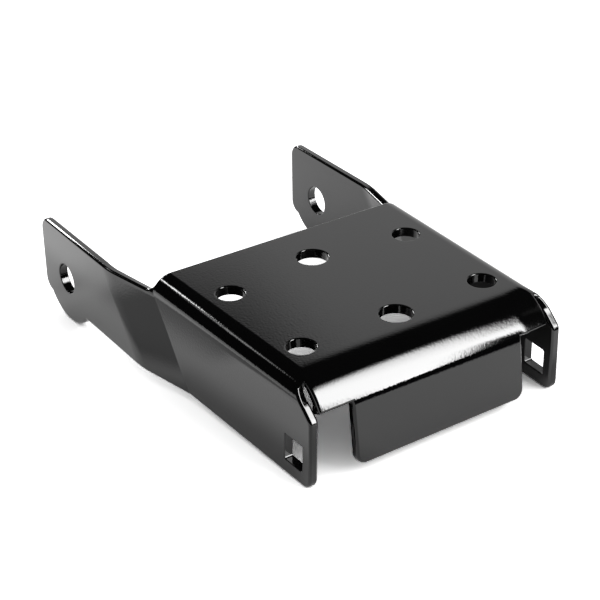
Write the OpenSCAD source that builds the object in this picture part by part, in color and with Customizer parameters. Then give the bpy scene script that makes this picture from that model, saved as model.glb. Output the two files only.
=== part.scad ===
// Mounting plate folded from one piece of steel sheet.
// The origin is the centre of the four corner holes, on the top face.
// X runs across the plate, Y runs back towards the arms and Z is up.

/* [Sheet] */
// Thickness of the sheet
sheet_t = 4.76; // [3:0.01:6.5]
// Outer radius of the long bends between the plate and the sides
side_bend_r = 10.2; // [8:0.1:11.5]
// Outer radius of the wide bend along the front edge
front_bend_r = 17.8; // [13:0.1:22]

/* [Plate] */
// Width over the sides at their front edge, level with the top face
front_w = 139.4; // [132:0.1:150]
// Distance from the hole pattern's centre back to the plate's rear edge
rear_edge_y = 63; // [52:0.5:70]
// Distance from the hole pattern's centre forward to the start of the front bend
front_bend_y = 45.1; // [42:0.1:55]
// Radius of the inner corner where the rear edge runs into the arm's top edge
rear_corner_r = 4.5; // [2:0.1:5]

/* [Holes in the plate] */
// Spacing of the corner holes across the plate
corner_hole_x = 101.6; // [88:0.1:104]
// Spacing of the corner holes from front to back
corner_hole_y = 57.6; // [40:0.1:66]
// Diameter of the corner holes
corner_hole_d = 13.5; // [8:0.1:16]
// Distance from the pattern's centre forward to the front middle hole
middle_front_y = 29.8; // [20:0.1:32]
// Distance from the pattern's centre back to the rear middle hole
middle_rear_y = 35.9; // [20:0.1:42]
// Diameter of the middle holes
middle_hole_d = 15.6; // [8:0.1:20]

/* [Lip and tab] */
// Angle that the wide bend turns at its free ends beside the tab
lip_turn = 72.6; // [50:0.1:76]
// Angle that the wide bend turns where it runs into the tab
tab_turn = 82.3; // [78:0.1:90]
// Gap between each free end of the bend and the side next to it
lip_gap = 0.5; // [0.4:0.1:3]
// Distance from the hole pattern's centre forward to the inner end of those gaps
slot_end_y = 50.6; // [49:0.1:53]
// Width of the tab
tab_w = 94.4; // [60:0.1:110]
// Drop from the top face to the tab's bottom edge
tab_drop = 43.3; // [32:0.1:47]
// Radius of the tab's bottom corners
tab_corner_r = 5; // [1:0.1:12]

/* [Sides] */
// Drop from the top face to the bottom edge of the sides and arms
side_drop = 48.8; // [47:0.1:60]
// Distance from the hole pattern's centre forward to the front edge of the sides
side_front_y = 63; // [58:0.1:70]
// Radius of the bottom front corners
side_corner_r = 4.6; // [1:0.1:8]
// Distance from the pattern's centre forward to where the slanted front corner starts
corner_cut_y = 46.7; // [44:0.1:55]
// Drop from the top face to the lower end of the slanted front corner
corner_cut_drop = 14.6; // [14:0.1:20]
// Radius where the slanted corner meets the front edge
corner_cut_r = 4; // [1:0.1:5]

/* [Square bolt holes] */
// Size of the square holes across their flats
square_hole_w = 13; // [8:0.1:16]
// Corner radius of the square holes
square_hole_r = 0.8; // [0.3:0.1:2]
// Distance from the square hole's centre back to the front edge of the side
square_hole_in = 11.9; // [10:0.1:20]
// Height of the square hole's centre above the bottom edge of the side
square_hole_up = 13.5; // [11:0.1:20]

/* [Arms] */
// Width over the two arms
arm_w = 160.2; // [156:0.1:172]
// Distance from the hole pattern's centre back to the rear edge of the arms
arm_rear_y = 165.7; // [155:0.1:200]
// Drop from the top face to the top edge of the arms
arm_top_drop = 7.3; // [6:0.1:9]
// Radius of the upper rear corner of the arms
arm_top_r = 6.5; // [2:0.1:12]
// Radius of the lower rear corner of the arms
arm_low_r = 7; // [2:0.1:9]
// Diameter of the hole near the end of each arm
arm_hole_d = 15.6; // [8:0.1:20]
// Distance from the arm hole's centre to the rear edge of the arm
arm_hole_in = 25; // [20:0.1:34]
// Drop from the top face to the arm hole's centre
arm_hole_drop = 33.3; // [28:0.1:36]
// Radius of the round lobe below the arm hole
lobe_r = 24.3; // [20:0.1:26]
// Radius of the inner corner in front of the lobe
lobe_corner_r = 2.5; // [1:0.1:5]

/* [Folds between sides and arms] */
// Lean of both fold lines from upright, back towards their upper ends
fold_lean = 36.5; // [0:0.5:40]
// Distance from the pattern's centre back to the front fold, halfway down the side
fold_front_y = 46.8; // [44:0.1:54]
// Distance from the pattern's centre back to the rear fold, halfway down the side
fold_rear_y = 80.6; // [76:0.1:95]
// Angle by which the sides close in towards the front, turned about the fold
side_toe = 1.92; // [0:0.01:3]
// Radius on the hollow side of the front fold
fold_front_r = 4; // [2:0.5:10]
// Radius on the hollow side of the rear fold
fold_rear_r = 26; // [5:0.5:34]

/* [Hidden] */
$fn = 96;
// Overlap of a cutter past the face it cuts
past = 2;
// Overlap by which neighbouring stretches of the sheet are joined
lap = 0.3;
// Overlap of the side bend's two stretches at the front fold
fold_lap = 0.1;
// Length that reaches past the whole part in any direction
reach = 400;

// The folds lie in the arm's plane, so distances along it are measured square to them
fold_mid_z = -(arm_top_drop + side_drop) / 2;
arm_half = arm_w / 2;
function along(y, z) = (y - fold_rear_y) * cos(fold_lean) - (z - fold_mid_z) * sin(fold_lean);
fold_span = (fold_rear_y - fold_front_y) * cos(fold_lean);

// Step from the arm's outer face in to the side's outer face at the front fold
toe_step = tan(side_toe) * (-fold_span - along(-side_front_y, 0));
joggle = arm_half - front_w / 2 - toe_step;
joggle_turn = atan(joggle / fold_span);
front_turn = joggle_turn - side_toe;
joggle_len = fold_span / cos(joggle_turn);
fold_front_t = fold_front_r * tan(front_turn / 2);
fold_rear_t = (fold_rear_r + sheet_t) * tan(joggle_turn / 2);

// Plan angle of the side bend, and how far it turns down
toe_plan = atan(tan(side_toe) * cos(fold_lean));
side_turn = acos(sin(side_toe) * sin(fold_lean));
side_bend_t = side_bend_r * tan(side_turn / 2);

// Where the side bend runs out behind the plate, measured back from the front fold
bend_end = along(rear_edge_y + rear_corner_r, -arm_top_drop) + fold_span;

// Half width of the plate's flat part at a distance y
function flat_half(y) =
    front_w / 2 - side_bend_t * cos(toe_plan)
    + (y + side_front_y - side_bend_t * sin(toe_plan)) * tan(toe_plan);

// Half width of the front bend, held clear of the inner faces of the sides
lip_half = front_w / 2 - sheet_t - lip_gap;

// Length of the flat part of the tab
tab_len = (tab_drop - front_bend_r * (1 - cos(tab_turn))) / sin(tab_turn);

// Slope of the slanted front corner, measured from level
corner_cut_angle = atan(corner_cut_drop / (side_front_y - corner_cut_y));
arm_hole_y = arm_rear_y - arm_hole_in;
square_hole_y = -side_front_y + square_hole_in;
square_hole_z = -side_drop + square_hole_up;

// Angle that the overlap between neighbouring stretches takes up on a radius
function over(r) = lap / r * 180 / PI;

// Part of a flat ring between two radii, from one angle to a larger one less than 180 degrees on
module ring_sector(r_in, r_out, from, to) {
    far = 3 * r_out;
    mid = (from + to) / 2;
    intersection() {
        difference() {
            circle(r = r_out);
            circle(r = r_in);
        }
        polygon([
            [0, 0],
            far * [cos(from), sin(from)],
            far * [cos(mid), sin(mid)],
            far * [cos(to), sin(to)]
        ]);
    }
}

// Section of a fold with an inner radius, run on at both ends into the flat sheet next to it
module fold_sector(r, from, to) {
    ring_sector(r, r + sheet_t, from - over(r + sheet_t), to + over(r + sheet_t));
}

// Spandrel between a corner, whose edges leave it at two angles, and a round of radius r
module corner_web(p, from, to, r) {
    mid = (from + to) / 2;
    half = (to - from) / 2;
    c = p + r / sin(half) * [cos(mid), sin(mid)];
    difference() {
        polygon([
            p,
            p + r / tan(half) * [cos(from), sin(from)],
            c,
            p + r / tan(half) * [cos(to), sin(to)]
        ]);
        translate(c) circle(r = r);
    }
}

// Turns a section drawn in Y and Z so that it reaches across the part along X
module across(from, to) {
    translate([from, 0, 0])
        rotate([90, 0, 90])
            linear_extrude(to - from) children();
}

// Places what is drawn about the right side bend's centre line: X outwards, Y back along it
module at_side_bend() {
    translate([front_w / 2, -side_front_y, 0])
        rotate([0, 0, -toe_plan])
            translate([-side_bend_t, 0, -side_bend_r]) children();
}

// Turns a section drawn about the side bend's centre so that it runs the whole length
module along_side_bend() {
    at_side_bend()
        rotate([90, 0, 0])
            linear_extrude(2 * reach, center = true) children();
}

// Frame of the front fold on the right side's outer face: Y back, square to the fold, Z along it
module at_front_fold() {
    translate([arm_half, fold_rear_y, fold_mid_z])
        rotate([-fold_lean, 0, 0])
            translate([-joggle, -fold_span, 0]) children();
}

// Turns the side bend about the front fold, so that it follows the joggle
module turned_at_fold() {
    at_front_fold()
        rotate([0, 0, -front_turn])
            translate([joggle, fold_span, 0])
                rotate([fold_lean, 0, 0])
                    translate([-arm_half, -fold_rear_y, -fold_mid_z]) children();
}

// Everything behind the plane that halves the front fold, moved back by a distance
module behind_fold(back) {
    at_front_fold()
        rotate([0, 0, -side_toe - front_turn / 2])
            translate([-reach, back, -reach]) cube(2 * reach);
}

// Everything in front of the slanted line where the side bend has run out behind the plate
module before_bend_end() {
    at_front_fold()
        translate([-reach, bend_end - 2 * reach, -reach]) cube(2 * reach);
}

// Section of the sheet through arm, joggle and side, square to the folds
module fold_section() {
    // Arm
    translate([-sheet_t, fold_rear_t - lap]) square([sheet_t, reach]);
    // Rear fold
    translate([-fold_rear_r - sheet_t, fold_rear_t])
        fold_sector(fold_rear_r, -joggle_turn, 0);
    // Slanted stretch between the folds
    rotate(-joggle_turn) {
        translate([-sheet_t, -joggle_len + fold_front_t - lap])
            square([sheet_t, joggle_len - fold_front_t - fold_rear_t + 2 * lap]);
        // Front fold and side
        translate([0, -joggle_len]) {
            translate([fold_front_r, fold_front_t])
                fold_sector(fold_front_r, 180, 180 + front_turn);
            rotate(front_turn)
                translate([-sheet_t, -fold_front_t - reach]) square([sheet_t, reach + lap]);
        }
    }
}

// The right side's sheet before its edges are cut
module folded_sheet() {
    translate([arm_half, fold_rear_y, fold_mid_z])
        rotate([-fold_lean, 0, 0])
            linear_extrude(reach, center = true) fold_section();
}

// Side view of side and arm, without the stretch of the side bend
module side_outline() {
    difference() {
        union() {
            polygon([
                [-side_front_y, -side_drop],
                [arm_rear_y, -side_drop],
                [arm_rear_y, -arm_top_drop],
                [-corner_cut_y - arm_top_drop / tan(corner_cut_angle), -arm_top_drop],
                [-side_front_y, -corner_cut_drop]
            ]);
            translate([arm_hole_y, -arm_hole_drop]) circle(r = lobe_r);
            lobe_corner();
        }
        corner_web([-side_front_y, -side_drop], 0, 90, side_corner_r);
        corner_web([-side_front_y, -corner_cut_drop], -90, corner_cut_angle, corner_cut_r);
        corner_web([arm_rear_y, -arm_top_drop], 180, 270, arm_top_r);
        rear_low_corner();
    }
}

// Round of the lower rear corner, kept clear of the lobe
module rear_low_corner() {
    difference() {
        corner_web([arm_rear_y, -side_drop], 90, 180, arm_low_r);
        translate([arm_hole_y, -arm_hole_drop]) circle(r = lobe_r);
    }
}

// Fillet between the bottom edge and the front of the lobe
module lobe_corner() {
    drop = side_drop + lobe_corner_r - arm_hole_drop;
    run = sqrt(pow(lobe_r + lobe_corner_r, 2) - pow(drop, 2));
    c = [arm_hole_y - run, -side_drop - lobe_corner_r];
    difference() {
        polygon([
            [c[0], -side_drop],
            c,
            [arm_hole_y, -arm_hole_drop],
            [arm_hole_y - run, -arm_hole_drop]
        ]);
        translate(c) circle(r = lobe_corner_r);
    }
}

// Side view of the side bend, with the rounded corner between rear edge and arm
module bend_outline() {
    translate([-side_front_y, -side_drop])
        square([side_front_y + rear_edge_y, side_drop + past]);
    translate([rear_edge_y, -side_drop])
        square([rear_corner_r, side_drop - arm_top_drop]);
    corner_web([rear_edge_y, -arm_top_drop], 0, 90, rear_corner_r);
}

// Follows the right side bend to the front fold, and the joggle from there
module side_and_joggle() {
    difference() {
        children();
        behind_fold(fold_lap);
    }
    intersection() {
        turned_at_fold() children();
        behind_fold(-fold_lap);
        before_bend_end();
    }
}

// Bend between the plate and the right side
module side_bend() {
    difference() {
        intersection() {
            side_and_joggle()
                along_side_bend()
                    ring_sector(side_bend_r - sheet_t, side_bend_r, 90 - side_turn, 90);
            across(0, arm_half) bend_outline();
        }
        bend_front_end();
    }
}

// Everything that the side bend takes the place of, above its lower edge
module above_side() {
    side_and_joggle()
        along_side_bend()
            rotate(90 - side_turn)
                translate([-reach / 2, lap]) square(reach);
}

// Distance from the side bend's front edge to where it is cut, at an angle down the bend
function cut_back(a) =
    side_front_y - max(slot_end_y, corner_cut_y + side_bend_r * (1 - cos(a)) / tan(corner_cut_angle));

// Clears the front end of the side bend, with a cut square to the sheet all the way round
module bend_front_end() {
    n = 12;
    far = -reach;
    r_in = (side_bend_r - sheet_t) / 2;
    r_out = side_bend_r + past;
    angles = [for (i = [0:n]) side_turn * i / n];
    points = [for (a = angles) each [
        [r_in * sin(a), cut_back(a), r_in * cos(a)],
        [r_out * sin(a), cut_back(a), r_out * cos(a)],
        [r_in * sin(a), far, r_in * cos(a)],
        [r_out * sin(a), far, r_out * cos(a)]
    ]];
    faces = [for (i = [0:n - 1]) let (k = 4 * i) each [
        [k, k + 5, k + 1],
        [k, k + 4, k + 5],
        [k + 2, k + 3, k + 7, k + 6],
        [k + 1, k + 5, k + 7, k + 3],
        [k, k + 2, k + 6, k + 4]
    ]];
    ends = [[0, 1, 3, 2], [4 * n, 4 * n + 2, 4 * n + 3, 4 * n + 1]];
    at_side_bend() polyhedron(points = points, faces = concat(faces, ends));
}

// Right side and arm
module side_and_arm() {
    difference() {
        intersection() {
            folded_sheet();
            across(0, arm_half) side_outline();
        }
        above_side();
    }
}

module right_side() {
    intersection() {
        union() {
            side_bend();
            side_and_arm();
        }
        under_front_bend();
    }
}

// Flat part of the plate
module flat_plate() {
    front = flat_half(-front_bend_y) + lap;
    rear = flat_half(rear_edge_y) + lap;
    translate([0, 0, -sheet_t])
        linear_extrude(sheet_t)
            polygon([
                [-front, -front_bend_y - lap],
                [front, -front_bend_y - lap],
                [rear, rear_edge_y],
                [-rear, rear_edge_y]
            ]);
}

// Section of the front bend down to an angle, drawn about its centre line
module front_bend(turn) {
    ring_sector(front_bend_r - sheet_t, front_bend_r, 90, 90 + turn);
}

// Everything under the outer face of the front bend
module under_front_bend() {
    across(-arm_w, arm_w) {
        translate([-front_bend_y, -reach]) square([2 * reach, reach + past]);
        translate([-front_bend_y, -front_bend_r]) circle(r = front_bend_r);
        translate([-side_front_y, -reach]) square([2 * reach, reach - front_bend_r]);
    }
}

// Everything under the outer face of the right side bend
module under_side_bend() {
    along_side_bend() {
        translate([-reach, -reach]) square([reach, reach + side_bend_r + past]);
        circle(r = side_bend_r);
        translate([-reach, -reach]) square([reach + side_bend_r, reach]);
    }
}

// Front bend, whose ends run into the side bends along a mitre
module lip() {
    intersection() {
        across(-lip_half, lip_half)
            translate([-front_bend_y, -front_bend_r]) front_bend(lip_turn);
        under_side_bend();
        mirror([1, 0, 0]) under_side_bend();
    }
}

// Tab that runs on from the middle of the front bend
module tab() {
    intersection() {
        across(-tab_w, tab_w)
            translate([-front_bend_y, -front_bend_r]) {
                front_bend(tab_turn + over(front_bend_r));
                rotate(tab_turn)
                    translate([-tab_len, front_bend_r - sheet_t])
                        square([tab_len + lap, sheet_t]);
            }
        translate([0, -front_bend_y, -front_bend_r])
            rotate([tab_turn, 0, 0])
                linear_extrude(2 * reach, center = true) tab_face();
    }
}

// Face of the tab with its rounded bottom corners, seen square to it
module tab_face() {
    difference() {
        translate([-tab_w / 2, -tab_len]) square([tab_w, reach]);
        corner_web([-tab_w / 2, -tab_len], 0, 90, tab_corner_r);
        corner_web([tab_w / 2, -tab_len], 90, 180, tab_corner_r);
    }
}

module plate_hole(x, y, d) {
    translate([x, y, -sheet_t - past]) cylinder(d = d, h = sheet_t + 2 * past);
}

module plate_holes() {
    for (sx = [-1, 1], sy = [-1, 1])
        plate_hole(sx * corner_hole_x / 2, sy * corner_hole_y / 2, corner_hole_d);
    plate_hole(0, -middle_front_y, middle_hole_d);
    plate_hole(0, middle_rear_y, middle_hole_d);
}

module arm_holes() {
    translate([0, arm_hole_y, -arm_hole_drop])
        rotate([0, 90, 0]) cylinder(d = arm_hole_d, h = arm_w + 2 * past, center = true);
}

module square_holes() {
    w = square_hole_w / 2;
    across(-arm_half, arm_half)
        translate([square_hole_y, square_hole_z])
            difference() {
                square(square_hole_w, center = true);
                for (i = [0:3])
                    rotate(90 * i) corner_web([-w, -w], 0, 90, square_hole_r);
            }
}

module mounting_plate() {
    color([0.03, 0.03, 0.032])
        difference() {
            union() {
                flat_plate();
                lip();
                tab();
                right_side();
                mirror([1, 0, 0]) right_side();
            }
            plate_holes();
            arm_holes();
            square_holes();
        }
}

mounting_plate();
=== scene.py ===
"""Looks of the folded mounting plate.

The sheet is drawn as a flat blank, its cut edges are rounded, and it is bent along its fold
lines. It has a gloss black powder coat and stands on a white studio floor.
"""

import math

import bmesh
import bpy
from mathutils import Matrix, Vector


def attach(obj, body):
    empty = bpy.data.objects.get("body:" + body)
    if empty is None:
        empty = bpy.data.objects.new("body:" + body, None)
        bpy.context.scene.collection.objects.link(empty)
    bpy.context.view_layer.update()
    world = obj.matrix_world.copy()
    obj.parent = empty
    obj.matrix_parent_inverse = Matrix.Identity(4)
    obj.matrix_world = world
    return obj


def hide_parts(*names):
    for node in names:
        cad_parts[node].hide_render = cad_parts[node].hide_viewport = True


bl_info = {
    "name": "Mounting plate looks",
    "version": (1, 0, 0),
    "blender": (4, 5, 0),
    "location": "3D View > Sidebar > Plate",
    "description": "Coated plate folded from a flat blank, with its studio, lights and camera",
    "category": "Object",
}

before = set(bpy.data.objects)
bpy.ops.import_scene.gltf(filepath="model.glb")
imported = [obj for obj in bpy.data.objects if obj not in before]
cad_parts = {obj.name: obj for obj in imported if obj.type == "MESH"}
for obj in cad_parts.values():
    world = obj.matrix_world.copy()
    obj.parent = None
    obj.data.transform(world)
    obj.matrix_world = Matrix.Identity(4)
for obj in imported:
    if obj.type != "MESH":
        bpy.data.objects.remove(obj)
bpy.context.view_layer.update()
PLATE = "mounting_plate"


# Values that a user would change


class PlateEdges(bpy.types.PropertyGroup):
    """Rounded edges and the soft forms that bending leaves."""

    edge: bpy.props.FloatProperty(
        name="Edge radius",
        description="Round of the sheet's outer cut edges",
        default=0.0014,
        min=0.0002,
        max=0.0018,
        precision=5,
        unit="LENGTH",
    )
    hole_edge: bpy.props.FloatProperty(
        name="Hole edge radius",
        description="Round of the edges of the holes",
        default=0.0005,
        min=0.0001,
        max=0.001,
        precision=5,
        unit="LENGTH",
    )
    corner_tilt: bpy.props.FloatProperty(
        name="Corner tilt",
        description="How steeply the front bend sinks at its right end",
        default=math.radians(6),
        min=0,
        max=math.radians(15),
        unit="ROTATION",
    )


class PlateCoat(bpy.types.PropertyGroup):
    """Finish of the powder coat."""

    colour: bpy.props.FloatVectorProperty(
        name="Coat colour",
        description="Base colour of the black powder coat",
        default=(0.0018, 0.0018, 0.0019),
        size=3,
        subtype="COLOR",
    )
    gloss: bpy.props.FloatProperty(
        name="Roughness",
        description="Mean roughness of the coat",
        default=0.05,
        min=0,
        max=1,
        subtype="FACTOR",
    )
    peel_size: bpy.props.FloatProperty(
        name="Orange peel size",
        description="Distance between the fine waves in the coat",
        default=0.0011,
        precision=5,
        unit="LENGTH",
    )
    peel_depth: bpy.props.FloatProperty(
        name="Orange peel depth",
        description="Height of the fine waves in the coat",
        default=0.000026,
        precision=6,
        unit="LENGTH",
    )


class StudioLight(bpy.types.PropertyGroup):
    """Floor, backdrop, lamps and camera."""

    floor_tone: bpy.props.FloatProperty(
        name="Floor tone",
        description="Share of the light that the floor returns",
        default=0.85,
        subtype="FACTOR",
    )
    floor_shown: bpy.props.FloatProperty(
        name="Floor as seen",
        description="Tone of the floor where the camera looks at it straight",
        default=2.7,
    )
    floor_mirrored: bpy.props.FloatProperty(
        name="Floor as mirrored",
        description="Tone of the floor where the gloss of the coat shows it",
        default=2.3,
    )
    fill: bpy.props.FloatProperty(
        name="Fill light",
        description="Even light from all round that softens the shadows",
        default=0.6,
    )
    lamp: bpy.props.FloatProperty(
        name="Lamp",
        description="Radiance of the lamp that lights the colour of coat and floor",
        default=2.2,
    )
    key_radiance: bpy.props.FloatProperty(
        name="Key light",
        description="Radiance of the large soft box in front, to the right",
        default=23.0,
    )
    strip_radiance: bpy.props.FloatProperty(
        name="Strip light",
        description="Radiance of the small soft box behind, to the left",
        default=20.0,
    )
    strip_end: bpy.props.FloatProperty(
        name="End of the strip light",
        description="Radiance of the dim soft box that carries the strip light on",
        default=3.5,
    )
    glint_radiance: bpy.props.FloatProperty(
        name="Glint light",
        description="Radiance of the low soft box behind that lights the arms' upper edges",
        default=40.0,
    )
    backdrop: bpy.props.FloatProperty(
        name="Backdrop",
        description="Radiance of the backdrop behind, to the right, as gloss shows it",
        default=0.88,
    )
    lens: bpy.props.FloatProperty(
        name="Focal length",
        description="Focal length for a sensor 36 mm wide",
        default=96.24,
    )


# Sizes of the folded sheet, in millimetres and radians, the same as those of the solid part.
# On the flat blank, u runs across and v along; where nothing is bent they are X and Y.

SHEET = 4.76
SIDE_RADIUS = 10.2
FRONT_X, ARM_X = 69.7, 80.1
FRONT_EDGE, REAR_EDGE = -63.0, 63.0
LEAN, TOE = math.radians(36.5), math.radians(1.92)
FOLD_FRONT_Y, FOLD_REAR_Y, FOLD_Z = 46.8, 80.6, -28.05
FOLD_FRONT_HALF, FOLD_REAR_HALF = 0.43, 3.87

# Lip and tab of the front bend, the slot beside the lip and the slanted cut that it opens into
LIP_TURN, TAB_TURN = math.radians(72.6), math.radians(82.3)
LIP_HALF, LIP_ROUND = 64.44, 1.2
TAB_HALF, TAB_FLAT, TAB_ROUND = 47.2, 28.14, 5
SLOT_Y = -50.6
CUT_Y, CUT_FOOT, CUT_SLOPE = -46.7, -13, math.radians(41.85)

# Holes in the plate: middle, half size and corner radius
PLATE_HOLES = [(x, y, 6.75, 6.75) for x in (-50.8, 50.8) for y in (-28.8, 28.8)]
PLATE_HOLES += [(0, -29.8, 7.8, 7.8), (0, 35.9, 7.8, 7.8)]
# Holes in the sides: middle in Y and Z, half size and corner radius
SIDE_HOLES = ((140.7, -33.3, 7.8, 7.8), (-51.1, -35.3, 6.5, 0.8))

# Rounds of the side's outline: middle in Y and Z, radius, first and last angle, steps
SIDE_ROUNDS = (
    (67.5, -2.8, 4.5, 180, 270, 8),  # hollow behind the plate's rear corner
    (159.2, -13.8, 6.5, 90, 0, 8),  # upper corner of the arm's end
    (158.7, -41.8, 7, 0, -83.87, 8),  # lower corner of the arm's end
    (140.7, -33.3, 24.3, -39.5, -137.8, 28),  # belly below the pivot hole
    (120.84, -51.3, 2.5, 42.2, 90, 5),  # hollow where the belly meets the lower edge
    (-58.4, -44.2, 4.6, 270, 180, 8),  # front foot
    (-59, -16.387, 4, 180, 131.85, 5),  # corner below the slanted cut
)
# Rounds that end nearer to each other than this share their point
TOUCH = 0.01

# Forms that only the looks have. The front bend starts gradually, over a stretch that is
# straight in the solid part, and the last stretch of its lip is straight.
FRONT_START, FRONT_LEAD, FRONT_RADIUS = -37.867, 16.0, 17.0847
LEAD_TURN = FRONT_LEAD / (2 * FRONT_RADIUS)
LIP_FLAT_TURN = math.radians(65)
# Width beside the tab over which its bend changes into that of the lip
LIP_BLEND = 4
# Lengths down the side bend between which the front bend ends
FRONT_FADE = (4.9, 8.6)
# Length behind the plate over which the skin of the side bend turns flat
ARM_BLEND = 12
# Where the front bend sinks towards its right end: from, to and share of the full tilt
SINKS = ((10, 44, 0.1), (47, 52, 0.9))
# Lengths along the front bend between which it comes to sink in full
SINK_GROWTH = (4, 20)

# Inset of the strips that round an edge, as shares of its radius
INSETS = (0, 0.08, 0.3, 0.6, 1)
# A point of the blank this many edge radii from a hole or nearer is on that hole's edge
HOLE_RIM = 1.05
# Steps round a hole, across the side bend, across half a rear fold and along the front bend
HOLE_STEPS, SIDE_STEPS, FOLD_STEPS, FRONT_STEPS = 48, 14, 3, 20
# Heights on the side through which the fold lines are drawn
FOLD_HEIGHTS = (-20, -40)
# Cuts along the blank where the front bend changes on its way to the side
LIP_CUTS = (44, 47.2, 48.5, 50, 51.2, 53, 55, 57, 59)
# Distance over which the slope of the folded face is measured
NUDGE = 0.02


# The folded sheet


def past_fold(y, z):
    """Distance past the rear fold, square to it."""
    return (y - FOLD_REAR_Y) * math.cos(LEAN) - (z - FOLD_Z) * math.sin(LEAN)


FOLD_SPAN = (FOLD_REAR_Y - FOLD_FRONT_Y) * math.cos(LEAN)
STEP = ARM_X - FRONT_X + math.tan(TOE) * (FOLD_SPAN + past_fold(FRONT_EDGE, 0))
STEP_TURN = math.atan(STEP / FOLD_SPAN)
PLAN = math.atan(math.tan(TOE) * math.cos(LEAN))
SIDE_TURN = math.acos(math.sin(TOE) * math.sin(LEAN))
SIDE_ARC = SIDE_RADIUS * SIDE_TURN
SIDE_FALL = SIDE_RADIUS * (1 - math.cos(SIDE_TURN))
SIDE_SET = SIDE_RADIUS * math.tan(SIDE_TURN / 2)


def smooth(low, high, value):
    """0 below low, 1 above high, smooth in between."""
    share = min(1, max(0, (value - low) / (high - low)))
    return share * share * (3 - 2 * share)


def flat_half(y):
    """Half width of the plate's flat part."""
    corner = FRONT_EDGE + SIDE_SET * math.sin(PLAN)
    return FRONT_X - SIDE_SET * math.cos(PLAN) + (y - corner) * math.tan(PLAN)


def front_length(turn):
    """Length along the sheet until the front bend has turned by an angle."""
    return FRONT_LEAD + (turn - LEAD_TURN) * FRONT_RADIUS


def front_bend(length, last):
    """Distance forward and down, and the angle, at a length along the front bend.

    The bend ends at its last angle. Its curvature grows evenly over the lead, where run and
    fall are the first terms of the series for such a curve, and then stays the same.
    """
    lead = min(length, FRONT_LEAD)
    turn = lead * lead / (2 * FRONT_LEAD * FRONT_RADIUS)
    run = lead * (1 - turn**2 / 10 + turn**4 / 216)
    fall = lead * (turn / 3 - turn**3 / 42 + turn**5 / 1320)
    if length > FRONT_LEAD:
        end = min(LEAD_TURN + (length - FRONT_LEAD) / FRONT_RADIUS, last)
        run += FRONT_RADIUS * (math.sin(end) - math.sin(turn))
        fall += FRONT_RADIUS * (math.cos(turn) - math.cos(end))
        turn = end
        rest = max(0, length - front_length(last))
        run += rest * math.cos(turn)
        fall += rest * math.sin(turn)
    return run, fall, turn


def lowered(u):
    """How far the front bend is lowered, for a full tilt of 1."""
    total = 0
    for low, high, share in SINKS:
        past = min(1, max(0, (u - low) / (high - low)))
        total += share * ((high - low) * past**3 * (1 - past / 2) + max(0, u - high))
    return total


def step_out(past):
    """How far the two folds bring the sheet out of the side's plane."""
    on = past + FOLD_SPAN
    slope, toe = math.tan(STEP_TURN), math.tan(TOE)
    if on < -FOLD_FRONT_HALF:
        return 0
    if on < FOLD_FRONT_HALF:
        return (slope - toe) * (on + FOLD_FRONT_HALF) ** 2 / (4 * FOLD_FRONT_HALF)
    if past < -FOLD_REAR_HALF:
        return (slope - toe) * on
    if past < FOLD_REAR_HALF:
        return STEP - slope * (FOLD_REAR_HALF - past) ** 2 / (4 * FOLD_REAR_HALF) - toe * on
    return STEP - toe * on


def bent(u, v, tilt):
    """Where the bends take a point of the flat blank's upper face."""
    side = math.copysign(1, u)
    start = flat_half(v)
    down = abs(u) - start
    x, fall = abs(u), 0
    edge = start + SIDE_RADIUS * math.sin(SIDE_TURN)
    if down > SIDE_ARC:
        x = edge + (down - SIDE_ARC) * math.cos(SIDE_TURN)
        fall = SIDE_FALL + (down - SIDE_ARC) * math.sin(SIDE_TURN)
    elif down > 0:
        x = start + SIDE_RADIUS * math.sin(down / SIDE_RADIUS)
        fall = SIDE_RADIUS * (1 - math.cos(down / SIDE_RADIUS))
        flat = edge - (SIDE_FALL - fall) / math.tan(SIDE_TURN)
        x += (flat - x) * smooth(REAR_EDGE, REAR_EDGE + ARM_BLEND, v)
    y, ahead = v, FRONT_START - v
    if ahead > 0:
        share = 1 - smooth(*FRONT_FADE, down)
        beside = smooth(TAB_HALF, TAB_HALF + LIP_BLEND, abs(u))
        run, drop, turn = front_bend(ahead, TAB_TURN + (LIP_FLAT_TURN - TAB_TURN) * beside)
        sink = lowered(u) * smooth(*SINK_GROWTH, ahead) * tilt
        y += (FRONT_START - run - v + sink * math.sin(turn)) * share
        fall = math.hypot(fall, (drop + sink * math.cos(turn)) * share)
    if down > 0:
        x += step_out(past_fold(y, -fall))
    return Vector((side * x, y, -fall))


def on_side(y, z):
    """Point of the flat blank that ends up on the right side at a height."""
    if -z < SIDE_FALL:
        return flat_half(y) + SIDE_RADIUS * math.acos(1 + z / SIDE_RADIUS), y
    return flat_half(y) + SIDE_ARC + (-z - SIDE_FALL) / math.sin(SIDE_TURN), y


def spread(first, last, steps):
    """Values at even steps from first to last."""
    return [first + (last - first) * i / steps for i in range(steps + 1)]


def arc(x, y, radius, first, last, steps):
    """Points along an arc, between two angles in degrees."""
    turns = [math.radians(turn) for turn in spread(first, last, steps)]
    return [(x + radius * math.cos(a), y + radius * math.sin(a)) for a in turns]


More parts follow.
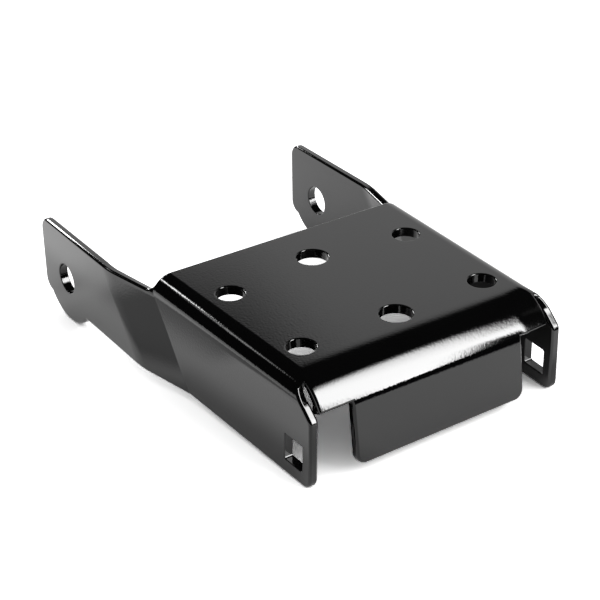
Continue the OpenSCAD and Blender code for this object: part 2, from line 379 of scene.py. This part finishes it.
def half_outline():
    """Outline of the blank's right half, from the rear edge round the side to the tab."""
    side = []
    for values in SIDE_ROUNDS:
        points = arc(*values)
        if side and math.dist(side[-1], points[0]) < TOUCH:
            points = points[1:]
        side += points
    for z in spread(CUT_FOOT, (SLOT_Y - CUT_Y) * math.tan(CUT_SLOPE), 8):
        side.append((CUT_Y + z / math.tan(CUT_SLOPE), z))
    outline = [on_side(y, z) for y, z in side]

    end = FRONT_START - front_length(LIP_TURN)
    for y in spread(SLOT_Y, end + LIP_ROUND, 4):
        start = flat_half(y)
        outline.append((start + SIDE_RADIUS * math.asin((LIP_HALF - start) / SIDE_RADIUS), y))
    lip_end = outline[-1][0]
    outline += arc(lip_end - LIP_ROUND, end + LIP_ROUND, LIP_ROUND, 0, -90, 4)[1:]
    tip = FRONT_START - front_length(TAB_TURN) - TAB_FLAT
    outline.append((TAB_HALF, end))
    return outline + arc(TAB_HALF - TAB_ROUND, tip + TAB_ROUND, TAB_ROUND, 0, -90, 8)


def blank_holes():
    """Holes of the blank: middle, half size and corner radius."""
    sides = [(s * on_side(y, z)[0], y, w, r) for y, z, w, r in SIDE_HOLES for s in (-1, 1)]
    return PLATE_HOLES + sides


def to_hole(point, holes):
    """Distance from a point of the blank to the nearest hole."""
    near = []
    for x, y, half, radius in holes:
        a, b = abs(point.x - x) - half + radius, abs(point.y - y) - half + radius
        near.append(math.hypot(max(a, 0), max(b, 0)) + min(max(a, b), 0) - radius)
    return min(near)


def chain(bm, points, closed):
    """Edges through points at height 0."""
    verts = [bm.verts.new((x, y, 0)) for x, y in points]
    for a, b in zip(verts, verts[1:]):
        bm.edges.new((a, b))
    if closed:
        bm.edges.new((verts[-1], verts[0]))
    return verts


def flat_face(bm, holes):
    """Upper face of the blank, filled between its outline and its holes."""
    half = half_outline()
    right = chain(bm, half, False)
    left = chain(bm, [(-x, y) for x, y in half], False)
    bm.edges.new((right[0], left[0]))
    bm.edges.new((right[-1], left[-1]))
    for x, y, size, radius in holes:
        if radius == size:
            place = Matrix.Translation((x, y, 0))
            bmesh.ops.create_circle(bm, segments=HOLE_STEPS, radius=size, matrix=place)
            continue
        rim = []
        for turn in (0, 90, 180, 270):
            a = math.radians(turn + 45)
            far = (size - radius) * math.sqrt(2)
            corner = (x + far * math.cos(a), y + far * math.sin(a))
            rim += arc(*corner, radius, turn, turn + 90, 4)
        chain(bm, rim, True)
    bmesh.ops.triangle_fill(bm, use_beauty=True, edges=bm.edges, normal=(0, 0, 1))
    for face in bm.faces:
        if face.normal.z < 0:
            face.normal_flip()


def depth(share):
    """Depth of a round edge at a distance from the cut, both as shares of its radius."""
    return 1 - math.sqrt(1 - (1 - min(1, max(0, share))) ** 2)


def cut_lines(bm):
    """Cuts the blank along the lines where it is bent."""
    lines = []
    for i in range(SIDE_STEPS + 1):
        place = Vector((flat_half(0) + SIDE_ARC * i / SIDE_STEPS, 0, 0))
        lines.append((place, Vector((1, -math.tan(PLAN), 0))))
    folds = [-FOLD_SPAN + FOLD_FRONT_HALF * i for i in (-1, 0, 1)]
    folds += [FOLD_REAR_HALF * i / FOLD_STEPS for i in range(-FOLD_STEPS, FOLD_STEPS + 1)]
    for fold in folds:
        ends = []
        for z in FOLD_HEIGHTS:
            y = FOLD_REAR_Y + (fold + (z - FOLD_Z) * math.sin(LEAN)) / math.cos(LEAN)
            ends.append(Vector((*on_side(y, z), 0)))
        way = ends[1] - ends[0]
        lines.append((ends[0], Vector((way.y, -way.x, 0))))
    lines += [(Vector((x, 0, 0)), Vector((1, 0, 0))) for x in LIP_CUTS]
    mirror = Vector((-1, 1, 1))
    lines += [(place * mirror, way * mirror) for place, way in lines]
    for i in range(FRONT_STEPS + 1):
        y = FRONT_START - front_length(TAB_TURN) * i / FRONT_STEPS
        lines.append((Vector((0, y, 0)), Vector((0, 1, 0))))
    for place, way in lines:
        geom = [*bm.verts, *bm.edges, *bm.faces]
        way = way.normalized()
        bmesh.ops.bisect_plane(bm, geom=geom, dist=1e-3, plane_co=place, plane_no=way)


def rounded_blank(edge, hole_edge, holes):
    """Flat blank with rounded edges, cut along its bends, as thick as the sheet."""
    bm = bmesh.new()
    flat_face(bm, holes)
    bmesh.ops.translate(bm, verts=bm.verts, vec=(0, 0, -edge))
    inner = bm.faces[:]
    for a, b in zip(INSETS, INSETS[1:]):
        bmesh.ops.inset_region(
            bm,
            faces=inner,
            use_boundary=True,
            use_even_offset=True,
            thickness=(b - a) * edge,
            depth=(depth(a) - depth(b)) * edge,
        )
    cut_lines(bm)
    near = {v: to_hole(v.co, holes) for v in bm.verts}
    for v in bm.verts:
        if near[v] < edge * HOLE_RIM:
            v.co.z = -hole_edge * depth(near[v] / hole_edge)
    copy = bmesh.ops.extrude_face_region(bm, geom=bm.faces[:], use_keep_orig=True)
    for v in copy["geom"]:
        if isinstance(v, bmesh.types.BMVert):
            v.co.z = -SHEET - v.co.z
    bmesh.ops.recalc_face_normals(bm, faces=bm.faces)
    bm.normal_update()
    return bm


def folded_sheet(edge, hole_edge, tilt):
    """Bends the rounded blank; gives its mesh in metres and a normal for each vertex."""
    holes = blank_holes()
    bm = rounded_blank(edge, hole_edge, holes)
    places, normals = [], []
    for v in bm.verts:
        x, y, z = v.co
        radius = hole_edge if to_hole(v.co, holes) < edge * HOLE_RIM else edge
        face = 1 if z > -SHEET / 2 else -1
        up = max(0, 1 - (-z if face > 0 else SHEET + z) / radius)
        level = v.normal.xy.normalized() * math.sqrt(max(0, 1 - up * up))
        across = bent(x + NUDGE, y, tilt) - bent(x - NUDGE, y, tilt)
        if abs(x) < NUDGE:
            across = Vector((1, 0, 0))
        along = bent(x, y + NUDGE, tilt) - bent(x, y - NUDGE, tilt)
        out = across.cross(along).normalized()
        across.normalize()
        along = out.cross(across)
        places.append(bent(x, y, tilt) + z * out)
        normals.append(across * level.x + along * level.y + out * up * face)
    for v, place in zip(bm.verts, places):
        v.co = 0.001 * place
    bmesh.ops.recalc_face_normals(bm, faces=bm.faces)
    return bm, normals


def new_object(name, bm):
    """Turns a bmesh into an object at the origin."""
    mesh = bpy.data.meshes.new(name)
    bm.to_mesh(mesh)
    bm.free()
    obj = bpy.data.objects.new(name, mesh)
    bpy.context.scene.collection.objects.link(obj)
    return obj


# Materials


class Nodes:
    """A short way to add and join shader nodes."""

    def __init__(self, tree):
        self.tree = tree
        tree.nodes.clear()

    def add(self, kind, **values):
        """Adds a node and sets its own values."""
        node = self.tree.nodes.new("ShaderNode" + kind)
        for name, value in values.items():
            setattr(node, name, value)
        return node

    def join(self, source, target):
        """Links an output to an input."""
        self.tree.links.new(source, target)

    def place(self, output):
        """X, Y and Z of a Texture Coordinate output."""
        node = self.add("SeparateXYZ")
        self.join(self.add("TexCoord").outputs[output], node.inputs[0])
        return node.outputs

    def math(self, operation, *values):
        """Result of a Math node on numbers and outputs."""
        node = self.add("Math", operation=operation)
        for value, target in zip(values, node.inputs):
            if isinstance(value, (int, float)):
                target.default_value = value
            else:
                self.join(value, target)
        return node.outputs[0]

    def product(self, first, *others):
        """Numbers and outputs multiplied."""
        for other in others:
            first = self.math("MULTIPLY", first, other)
        return first

    def ramp(self, value, low, high, first=0.0, last=1.0, kind="LINEAR"):
        """Goes from first to last while the value goes from low to high."""
        node = self.add("MapRange", interpolation_type=kind)
        self.join(value, node.inputs["Value"])
        node.inputs["From Min"].default_value = low
        node.inputs["From Max"].default_value = high
        node.inputs["To Min"].default_value = first
        node.inputs["To Max"].default_value = last
        return node.outputs["Result"]

    def step(self, value, low, high):
        """0 below low, 1 above high, smooth in between."""
        return self.ramp(value, low, high, kind="SMOOTHSTEP")

    def span(self, value, low, high):
        """1 between two edges, each given as where it starts and where it ends."""
        start, stop = self.step(value, *low), self.step(value, *high)
        return self.math("MULTIPLY", start, self.math("SUBTRACT", 1, stop))

    def noise(self, place, scale, detail, roughness=0.5):
        """Cloudy pattern from 0 to 1."""
        node = self.add("TexNoise")
        self.join(place, node.inputs["Vector"])
        node.inputs["Scale"].default_value = scale
        node.inputs["Detail"].default_value = detail
        node.inputs["Roughness"].default_value = roughness
        return node.outputs["Fac"]


def new_material(name):
    """Empty material, and the way to fill it with nodes."""
    material = bpy.data.materials.new(name)
    material.use_nodes = True
    return material, Nodes(material.node_tree)


# Clouds in the coat: scale and detail, and how far colour and sheen vary with them
CLOUDS, TINT_VARIES, SHEEN_VARIES = (22, 4), 0.2, 0.25
# Orange peel: detail and roughness of its pattern
PEEL = (2, 0.55)


def coat_material(coat):
    """Gloss black powder coat with orange peel and a faint unevenness of sheen."""
    material, n = new_material("black_coat")
    place = n.add("TexCoord").outputs["Object"]
    shader = n.add("BsdfPrincipled")
    n.join(shader.outputs["BSDF"], n.add("OutputMaterial").inputs["Surface"])

    cloud = n.noise(place, *CLOUDS)
    tint = n.add("Mix", data_type="RGBA", blend_type="MIX")
    n.join(cloud, tint.inputs["Factor"])
    tint.inputs["A"].default_value = (*[(1 - TINT_VARIES) * c for c in coat.colour], 1)
    tint.inputs["B"].default_value = (*[(1 + TINT_VARIES) * c for c in coat.colour], 1)
    n.join(tint.outputs["Result"], shader.inputs["Base Color"])
    low, high = (1 - SHEEN_VARIES) * coat.gloss, (1 + SHEEN_VARIES) * coat.gloss
    n.join(n.ramp(cloud, 0, 1, low, high), shader.inputs["Roughness"])

    bump = n.add("Bump")
    bump.inputs["Strength"].default_value = 1
    bump.inputs["Distance"].default_value = coat.peel_depth
    n.join(n.noise(place, 1 / coat.peel_size, *PEEL), bump.inputs["Height"])
    n.join(bump.outputs["Normal"], shader.inputs["Normal"])
    shader.inputs["IOR"].default_value = 1.5
    shader.inputs["Specular IOR Level"].default_value = 0.5
    return material


# Painted shade and painted light on the floor as gloss shows it: patches darker under, beside
# and in front of the part, and one brighter behind on the left; edges in X and Y, in metres, and
# factor
FLOOR_PAINTED_SHADE_AND_LIGHT = (
    ((-0.072, -0.055), (0.055, 0.072), (-0.06, -0.05), (0.05, 0.08), 0.25),
    ((-0.3, -0.2), (0.2, 0.3), (-0.3, -0.2), (-0.085, -0.05), 0.85),
    ((-0.3, -0.2), (-0.05, -0.02), (-0.3, -0.2), (-0.085, -0.05), 0.6),
    ((0.06, 0.075), (0.1, 0.12), (-0.09, -0.075), (-0.05, -0.04), 0.5),
    ((-0.3, -0.22), (-0.12, -0.097), (0.045, 0.068), (0.145, 0.175), 0.45),
    ((-0.1, -0.08), (-0.06, -0.05), (-0.07, -0.04), (0.05, 0.08), 0.6),
    ((-0.115, -0.1), (-0.08, -0.06), (0.16, 0.18), (0.24, 0.27), 0.75),
    ((-0.4, -0.3), (-0.08, -0.02), (0.15, 0.21), (0.4, 0.6), 1.3),
)
# Way forward in X and Y, and how far along it the floor that gloss shows ends
FLOOR_AHEAD, FLOOR_END = (0.55, 0.84), (0.155, 0.195)


def floor_material(studio):
    """White floor that keeps the part's shadow and, to gloss, ends in the dark in front, with
    painted shade and painted light in patches near the part.
    """
    material, n = new_material("studio_floor")
    path = n.add("LightPath").outputs
    x, y, _ = n.place("Object")
    right, forward = FLOOR_AHEAD
    ahead = n.math("SUBTRACT", n.product(x, right), n.product(y, forward))
    lit = n.math("SUBTRACT", 1, n.step(ahead, *FLOOR_END))
    # The patches paint shade and light into the floor only where gloss shows it
    for left, right, near, far, factor in FLOOR_PAINTED_SHADE_AND_LIGHT:
        inside = n.product(n.span(x, left, right), n.span(y, near, far))
        lit = n.product(lit, n.math("MULTIPLY_ADD", inside, factor - 1, 1))
    tone = n.product(path["Is Diffuse Ray"], studio.floor_tone)
    tone = n.math("MULTIPLY_ADD", path["Is Camera Ray"], studio.floor_shown, tone)
    mirrored = n.product(lit, studio.floor_mirrored)
    tone = n.math("MULTIPLY_ADD", path["Is Glossy Ray"], mirrored, tone)
    shade = n.add("BsdfDiffuse")
    n.join(tone, shade.inputs["Color"])
    n.join(shade.outputs["BSDF"], n.add("OutputMaterial").inputs["Surface"])
    return material


# Backdrop that gloss shows, in degrees: its left and right edges, its upper edge on the left,
# and where that edge rises on the way to the right (from, to and by how much)
BACKDROP_SIDES, BACKDROP_TOP = ((8, 26), (95, 120)), (24.7, 31.4)
BACKDROP_RISES = ((28, 32, 1.6), (32, 36, 4.1), (36, 46, 1.7))
# Radiance that gloss shows where there is nothing else
DARK = 0.01


def studio_world(studio):
    """White to the camera; to gloss, dark with a bright backdrop behind on the right."""
    world = bpy.data.worlds.new("studio")
    bpy.context.scene.world = world
    world.use_nodes = True
    n = Nodes(world.node_tree)
    path = n.add("LightPath").outputs
    x, y, z = n.place("Generated")
    turn = n.product(n.math("ARCTAN2", x, y), 180 / math.pi)
    rise = n.product(n.math("ARCSINE", z), 180 / math.pi)
    for start, stop, lift in BACKDROP_RISES:
        rise = n.math("SUBTRACT", rise, n.ramp(turn, start, stop, 0, lift))
    low = n.math("SUBTRACT", 1, n.step(rise, *BACKDROP_TOP))
    backdrop = n.product(low, n.span(turn, *BACKDROP_SIDES), studio.backdrop)
    seen = n.product(n.math("ADD", backdrop, DARK), path["Is Glossy Ray"])
    fill = n.product(path["Is Diffuse Ray"], studio.fill)
    back = n.add("Background")
    back.inputs["Color"].default_value = (1, 1, 1, 1)
    total = n.math("ADD", n.math("ADD", seen, fill), path["Is Camera Ray"])
    n.join(total, back.inputs["Strength"])
    n.join(back.outputs[0], n.add("OutputWorld").inputs["Surface"])
    return world


# Studio. Directions are in degrees: the turn from +Y towards +X, and the rise above level.

FLOOR_HALF = 4
# The arms are all that lies behind this, in metres
ARMS_FROM = 0.1
# Camera at the photo's viewing angle
CAMERA_PLACE = (-0.38443, -0.52051, 0.36095)
CAMERA_TURN = math.radians(-34.1261)
CAMERA_RISE = math.radians(29.6199)
CAMERA_ROLL = math.radians(-0.6096)
# Spots at which the lights are aimed
FRONT_SPOT, REAR_SPOT, ARM_SPOT = (0, -0.05, 0), (-0.06, 0.04, 0), (-0.077, 0.15, 0)


def facing(target, turn, rise):
    """Place and turn of something 1 m from a target that faces it."""
    a, e = math.radians(turn), math.radians(rise)
    way = Vector((math.sin(a) * math.cos(e), math.cos(a) * math.cos(e), math.sin(e)))
    turned = (-way).to_track_quat("-Z", "Y").to_matrix().to_4x4()
    return Matrix.Translation(Vector(target) + way) @ turned


def area_light(name, target, turn, rise, width, height, radiance):
    """Rectangular lamp that lights the colour of coat and floor, and that gloss misses."""
    lamp = bpy.data.lights.new(name, "AREA")
    lamp.shape = "RECTANGLE"
    lamp.size, lamp.size_y = width, height
    lamp.energy = radiance * math.pi * width * height
    obj = bpy.data.objects.new(name, lamp)
    bpy.context.scene.collection.objects.link(obj)
    obj.matrix_world = facing(target, turn, rise)
    obj.visible_glossy = False


def soft_box(name, target, turn, rise, width, height, glow):
    """Panel that only gloss shows; glow gives its radiance from nodes, X and Y."""
    bm = bmesh.new()
    bmesh.ops.create_grid(bm, x_segments=1, y_segments=1, size=0.5)
    bmesh.ops.scale(bm, verts=bm.verts, vec=(width, height, 1))
    panel = new_object(name, bm)
    panel.matrix_world = facing(target, turn, rise)
    material, n = new_material(name)
    x, y, _ = n.place("Object")
    light = n.add("Emission")
    n.join(glow(n, x, y), light.inputs["Strength"])
    both = n.add("AddShader")
    n.join(light.outputs[0], both.inputs[0])
    n.join(n.add("BsdfTransparent").outputs[0], both.inputs[1])
    n.join(both.outputs[0], n.add("OutputMaterial").inputs["Surface"])
    panel.data.materials.append(material)
    panel.visible_camera = panel.visible_diffuse = panel.visible_shadow = False


def soft_strip(name, target, turn, rise, width, height, radiance, fade):
    """Soft box that fades out over a distance from its edges."""
    half, tall = width / 2, height / 2

    def glow(n, x, y):
        across = n.span(x, (-half, -half + fade), (half - fade, half))
        up = n.span(y, (-tall, -tall + fade), (tall - fade, tall))
        return n.product(across, up, radiance)

    soft_box(name, target, turn, rise, width, height, glow)


# Key soft box, in metres from its middle: where its foot, head, left and right edges fade
KEY_FOOT, KEY_HEAD = (-0.38, -0.15), (0.35, 0.65)
KEY_LEFT, KEY_RIGHT = (-0.4, -0.28), (-0.02, 0.13)
# Dark wedge that stands on its foot: where its tip is, and its slope
KEY_WEDGE, KEY_WEDGE_SLOPE = -0.112, 3.5
# Its sides slant by this much above this height
KEY_SLANT, KEY_SLANT_FROM = 0.4, -0.03
# It loses this share of its light on the way across
KEY_LOSS, KEY_LOSS_SPAN = 0.3, (-0.12, 0.18)


def key_box(radiance):
    """Large soft box in front, with slanted sides and a dark wedge at its foot."""

    def glow(n, x, y):
        wedge = n.math("ABSOLUTE", n.math("SUBTRACT", x, KEY_WEDGE))
        foot = n.step(n.math("MULTIPLY_ADD", wedge, KEY_WEDGE_SLOPE, y), *KEY_FOOT)
        head = n.math("SUBTRACT", 1, n.step(y, *KEY_HEAD))
        height = n.math("MAXIMUM", y, KEY_SLANT_FROM)
        slant = n.math("MULTIPLY_ADD", height, -KEY_SLANT, x)
        sides = n.span(slant, KEY_LEFT, KEY_RIGHT)
        bright = n.math("MULTIPLY_ADD", n.step(x, *KEY_LOSS_SPAN), -KEY_LOSS, 1)
        return n.product(bright, foot, head, sides, radiance)

    soft_box("key_box", FRONT_SPOT, 136, 32, 0.8, 1.3, glow)


def resting_floor(points):
    """Height at the origin and slope along Y of the plane that the part rests on."""
    slope = 0.0
    for _ in range(20):
        front = min((p for p in points if p.y < 0), key=lambda p: p.z - slope * p.y)
        rear = min((p for p in points if p.y > ARMS_FROM), key=lambda p: p.z - slope * p.y)
        slope = (rear.z - front.z) / (rear.y - front.y)
    return front.z - slope * front.y, slope


def studio_floor(studio):
    """Large floor under the part as it rests."""
    height, slope = resting_floor([v.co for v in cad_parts[PLATE].data.vertices])
    bm = bmesh.new()
    bmesh.ops.create_grid(bm, x_segments=1, y_segments=1, size=FLOOR_HALF)
    tilt = Matrix.Translation((0, 0, height)) @ Matrix.Rotation(math.atan(slope), 4, "X")
    bmesh.ops.transform(bm, matrix=tilt, verts=bm.verts)
    floor = new_object("floor", bm)
    floor.data.materials.append(floor_material(studio))


def studio_lights(studio):
    """Lamp for the colours, and the soft boxes that gloss shows."""
    area_light("key", FRONT_SPOT, 140, 30, 0.93, 0.84, studio.lamp)
    key_box(studio.key_radiance)
    soft_strip("strip_box", REAR_SPOT, -22, 36, 0.13, 0.09, studio.strip_radiance, 0.04)
    soft_strip("strip_end", REAR_SPOT, -32, 36, 0.16, 0.12, studio.strip_end, 0.05)
    soft_strip("glint_box", ARM_SPOT, 4, 26.5, 0.56, 0.17, studio.glint_radiance, 0.05)


def studio_camera(studio):
    """Camera at the photo's viewing angle."""
    lens = bpy.data.cameras.new("camera")
    lens.lens = studio.lens
    lens.sensor_width = 36
    camera = bpy.data.objects.new("camera", lens)
    bpy.context.scene.collection.objects.link(camera)
    camera.matrix_world = (
        Matrix.Translation(CAMERA_PLACE)
        @ Matrix.Rotation(CAMERA_TURN, 4, "Z")
        @ Matrix.Rotation(math.pi / 2 - CAMERA_RISE, 4, "X")
        @ Matrix.Rotation(CAMERA_ROLL, 4, "Z")
    )
    bpy.context.scene.camera = camera
    bpy.context.scene.view_settings.view_transform = "Standard"


# Operators and panel


class PLATE_OT_coated_plate(bpy.types.Operator):
    """Builds the coated plate: cuts the blank, rounds its edges, bends it and coats it"""

    bl_idname = "plate.coated_plate"
    bl_label = "Coated plate"

    def execute(self, context):
        edges, coat = context.scene.plate_edges, context.scene.plate_coat
        tilt = math.tan(edges.corner_tilt)
        bm, normals = folded_sheet(1000 * edges.edge, 1000 * edges.hole_edge, tilt)
        plate = new_object("coated_plate", bm)
        for face in plate.data.polygons:
            face.use_smooth = True
        plate.data.normals_split_custom_set_from_vertices(normals)
        plate.data.materials.append(coat_material(coat))
        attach(plate, "root")
        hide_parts(PLATE)
        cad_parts[PLATE].data.materials.clear()
        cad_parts[PLATE].data.materials.append(plate.data.materials[0])
        return {"FINISHED"}


class PLATE_OT_stage(bpy.types.Operator):
    """Makes the floor, the backdrop, the lights and the camera"""

    bl_idname = "plate.stage"
    bl_label = "Stage"

    def execute(self, context):
        studio = context.scene.plate_studio
        studio_floor(studio)
        studio_world(studio)
        studio_lights(studio)
        studio_camera(studio)
        return {"FINISHED"}


class PLATE_PT_panel(bpy.types.Panel):
    """Lists the operators and the values that they use"""

    bl_idname = "PLATE_PT_panel"
    bl_label = "Mounting plate"
    bl_space_type = "VIEW_3D"
    bl_region_type = "UI"
    bl_category = "Plate"

    def draw(self, context):
        for operator in (PLATE_OT_coated_plate, PLATE_OT_stage):
            self.layout.operator(operator.bl_idname)
        for group in ("plate_edges", "plate_coat", "plate_studio"):
            values = getattr(context.scene, group)
            for name in values.bl_rna.properties.keys():
                if name not in ("rna_type", "name"):
                    self.layout.prop(values, name)


CLASSES = (
    PlateEdges,
    PlateCoat,
    StudioLight,
    PLATE_OT_coated_plate,
    PLATE_OT_stage,
    PLATE_PT_panel,
)


def register():
    for cls in CLASSES:
        bpy.utils.register_class(cls)
    bpy.types.Scene.plate_edges = bpy.props.PointerProperty(type=PlateEdges)
    bpy.types.Scene.plate_coat = bpy.props.PointerProperty(type=PlateCoat)
    bpy.types.Scene.plate_studio = bpy.props.PointerProperty(type=StudioLight)


def unregister():
    del bpy.types.Scene.plate_studio
    del bpy.types.Scene.plate_coat
    del bpy.types.Scene.plate_edges
    for cls in reversed(CLASSES):
        bpy.utils.unregister_class(cls)


def main():
    """Registers the add-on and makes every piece."""
    register()
    bpy.ops.plate.coated_plate()
    bpy.ops.plate.stage()


if __name__ == "__main__":
    main()
